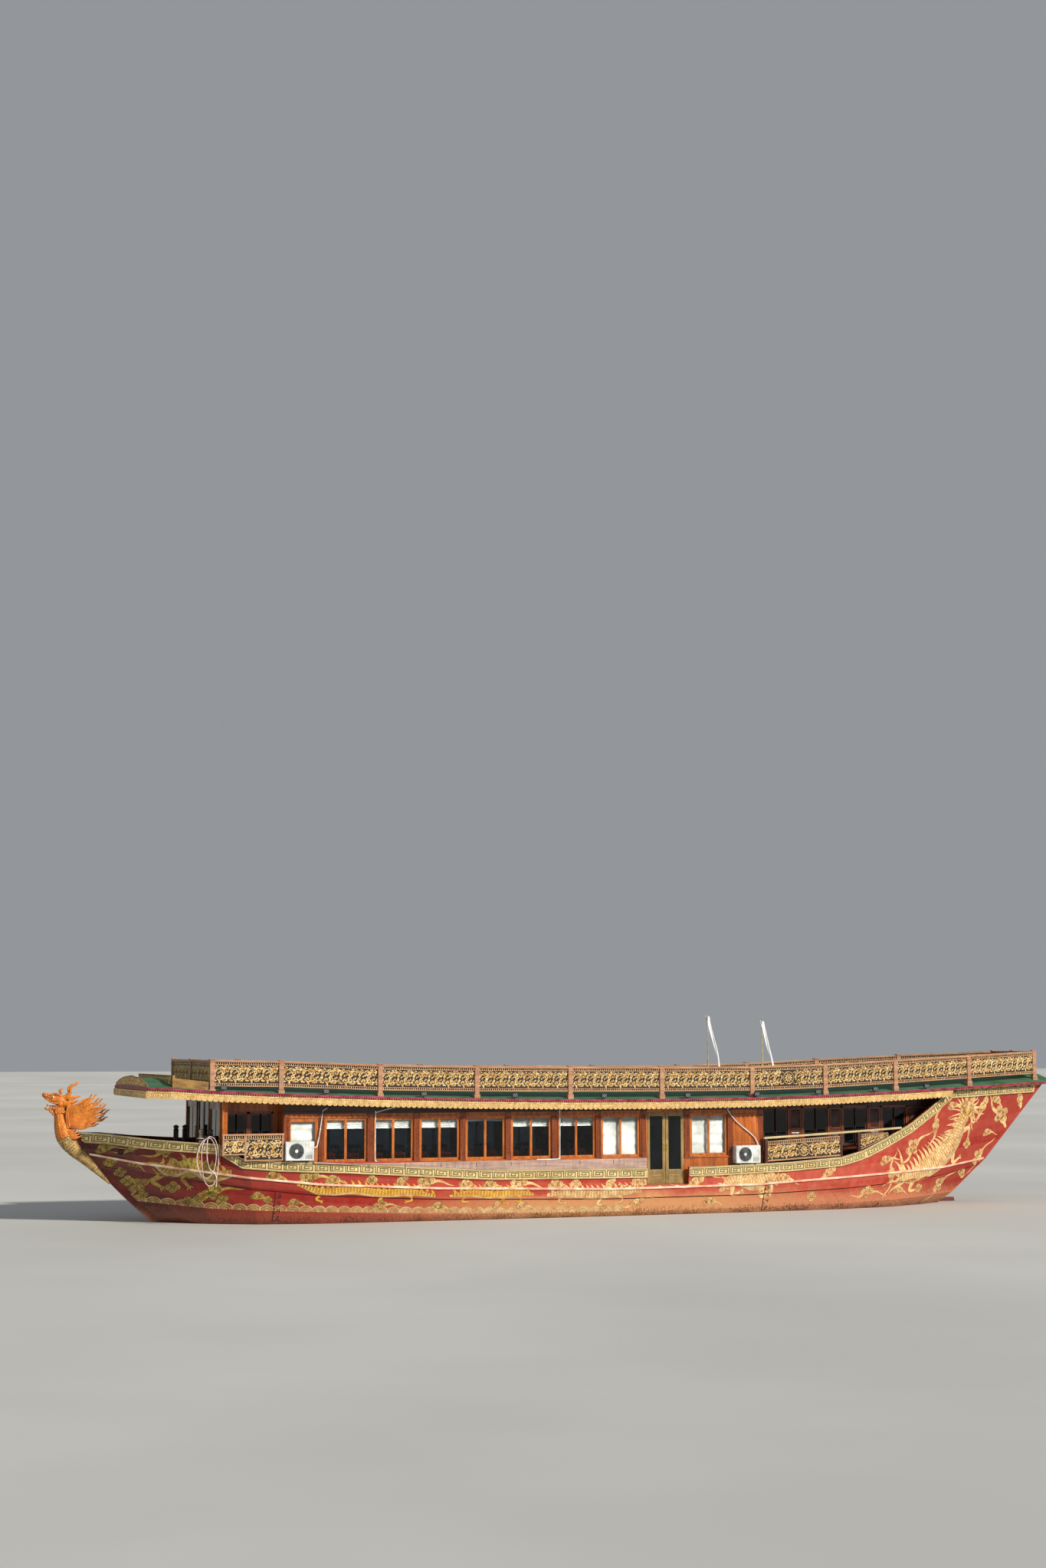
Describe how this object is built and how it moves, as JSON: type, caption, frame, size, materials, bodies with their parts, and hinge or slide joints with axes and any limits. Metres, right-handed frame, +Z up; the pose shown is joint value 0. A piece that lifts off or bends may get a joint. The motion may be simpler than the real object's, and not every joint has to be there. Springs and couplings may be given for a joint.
{
  "type": "dragon boat",
  "caption": "Wooden river passenger boat with a carved dragon figurehead, glazed saloon, galleries, upswept stern and railed roof deck.",
  "frame": {"origin": "amidships on the centreline, on the plane the boat floats at", "axes": "+X aft along the boat, +Y to starboard, +Z up"},
  "size_m": [30.4839, 5.66, 6.5],
  "materials": {
    "hull_paint": "red oil paint on planks, glossy forward and sun faded aft",
    "varnished_wood": "reddish brown varnish",
    "orange_wood": "orange varnish, worn pale at the sills",
    "dark_wood": "dark brown varnish",
    "raw_wood": "bare weathered grey plank",
    "chair_wood": "carved and lacquered red brown",
    "door_frame": "olive gold paint",
    "gold_carving": "carved boards, ochre and gold paint over dark recesses",
    "dragon_wood": "carved wood, orange gold paint",
    "roof_green": "matt green deck paint",
    "maroon": "maroon paint on a row of tile ends",
    "glass": "clear window glass",
    "white_metal": "white powder coat",
    "iron": "dark painted iron",
    "bronze": "cast bronze",
    "rope": "laid synthetic rope, pinkish white",
    "cloth": "thin white cloth"
  },
  "bodies": {
    "root": {"hull_body": "hull_paint", "bow_bulwark_port": "hull_paint", "bow_bulwark_starboard": "hull_paint", "topside_fore_port": "hull_paint", "topside_fore_starboard": "hull_paint", "topside_aft_port": "hull_paint", "topside_aft_starboard": "hull_paint", "rub_strake_port": "hull_paint", "rub_strake_starboard": "hull_paint", "transom": "hull_paint", "keel_and_stem": "hull_paint", "engine": "iron", "dragon_neck": "dragon_wood", "dragon_head": "dragon_wood", "dragon_mane_port": "dragon_wood", "dragon_mane_starboard": "dragon_wood", "saloon_wall_port": "varnished_wood", "saloon_wall_starboard": "varnished_wood", "aft_house_wall_port": "dark_wood", "aft_house_wall_starboard": "dark_wood", "front_wall": "dark_wood", "sashes_port": "orange_wood", "sashes_starboard": "orange_wood", "window_glass_port": "glass", "window_glass_starboard": "glass", "blinds_port": "cloth", "blinds_starboard": "cloth", "chairs_port": "chair_wood", "chairs_starboard": "chair_wood", "fore_gallery_rail_port": "gold_carving", "fore_gallery_rail_starboard": "gold_carving", "aft_gallery_rail_port": "gold_carving", "aft_gallery_rail_starboard": "gold_carving", "roof_deck": "roof_green", "eave": "maroon", "valance": "gold_carving", "roof_rail_port": "gold_carving", "roof_rail_starboard": "gold_carving", "roof_rail_front": "gold_carving", "roof_rail_stern": "gold_carving", "roof_crest": "gold_carving", "cooler_fore_port": "white_metal", "cooler_fore_starboard": "white_metal", "cooler_aft_port": "white_metal", "cooler_aft_starboard": "white_metal", "bitts_port": "dark_wood", "bitts_starboard": "dark_wood", "flag_poles": "raw_wood", "flag_cloth_1": "cloth", "flag_cloth_2": "cloth", "rope_hank": "rope"},
    "door_fore_port": {"door_fore_port": "door_frame"},
    "door_aft_port": {"door_aft_port": "door_frame"},
    "door_fore_starboard": {"door_fore_starboard": "door_frame"},
    "door_aft_starboard": {"door_aft_starboard": "door_frame"},
    "front_door_port": {"front_door_port": "dark_wood"},
    "front_door_starboard": {"front_door_starboard": "dark_wood"},
    "engine_hatch": {"engine_hatch": "dark_wood"},
    "propeller": {"propeller": "bronze"},
    "rudder": {"rudder": "iron"}
  },
  "joints": [
    {"name": "door_fore_port_swing", "type": "hinge", "parent": "root", "child": "door_fore_port", "pos_m": [1.137, -2.3683, 1.86], "axis": [0, 0, 1], "range_deg": [-90, 0]},
    {"name": "door_aft_port_swing", "type": "hinge", "parent": "root", "child": "door_aft_port", "pos_m": [2.263, -2.3683, 1.86], "axis": [0, 0, 1], "range_deg": [0, 90]},
    {"name": "door_fore_starboard_swing", "type": "hinge", "parent": "root", "child": "door_fore_starboard", "pos_m": [1.137, 2.3683, 1.86], "axis": [0, 0, 1], "range_deg": [0, 90]},
    {"name": "door_aft_starboard_swing", "type": "hinge", "parent": "root", "child": "door_aft_starboard", "pos_m": [2.263, 2.3683, 1.86], "axis": [0, 0, 1], "range_deg": [-90, 0]},
    {"name": "front_door_port_swing", "type": "hinge", "parent": "root", "child": "front_door_port", "pos_m": [-10.9483, -0.643, 2.45], "axis": [0, 0, 1], "range_deg": [0, 90]},
    {"name": "front_door_starboard_swing", "type": "hinge", "parent": "root", "child": "front_door_starboard", "pos_m": [-10.9483, 0.643, 2.45], "axis": [0, 0, 1], "range_deg": [-90, 0]},
    {"name": "engine_hatch_lift", "type": "hinge", "parent": "root", "child": "engine_hatch", "pos_m": [8.06, 0, 0.85], "axis": [0, 1, 0], "range_deg": [0, 85]},
    {"name": "propeller_spin", "type": "hinge", "parent": "root", "child": "propeller", "pos_m": [11.25, 0, -0.47], "axis": [1, 0, 0], "continuous": true},
    {"name": "rudder_turn", "type": "hinge", "parent": "root", "child": "rudder", "pos_m": [11.9, 0, 0.5], "axis": [0, 0, 1], "range_deg": [-35, 35]}
  ]
}
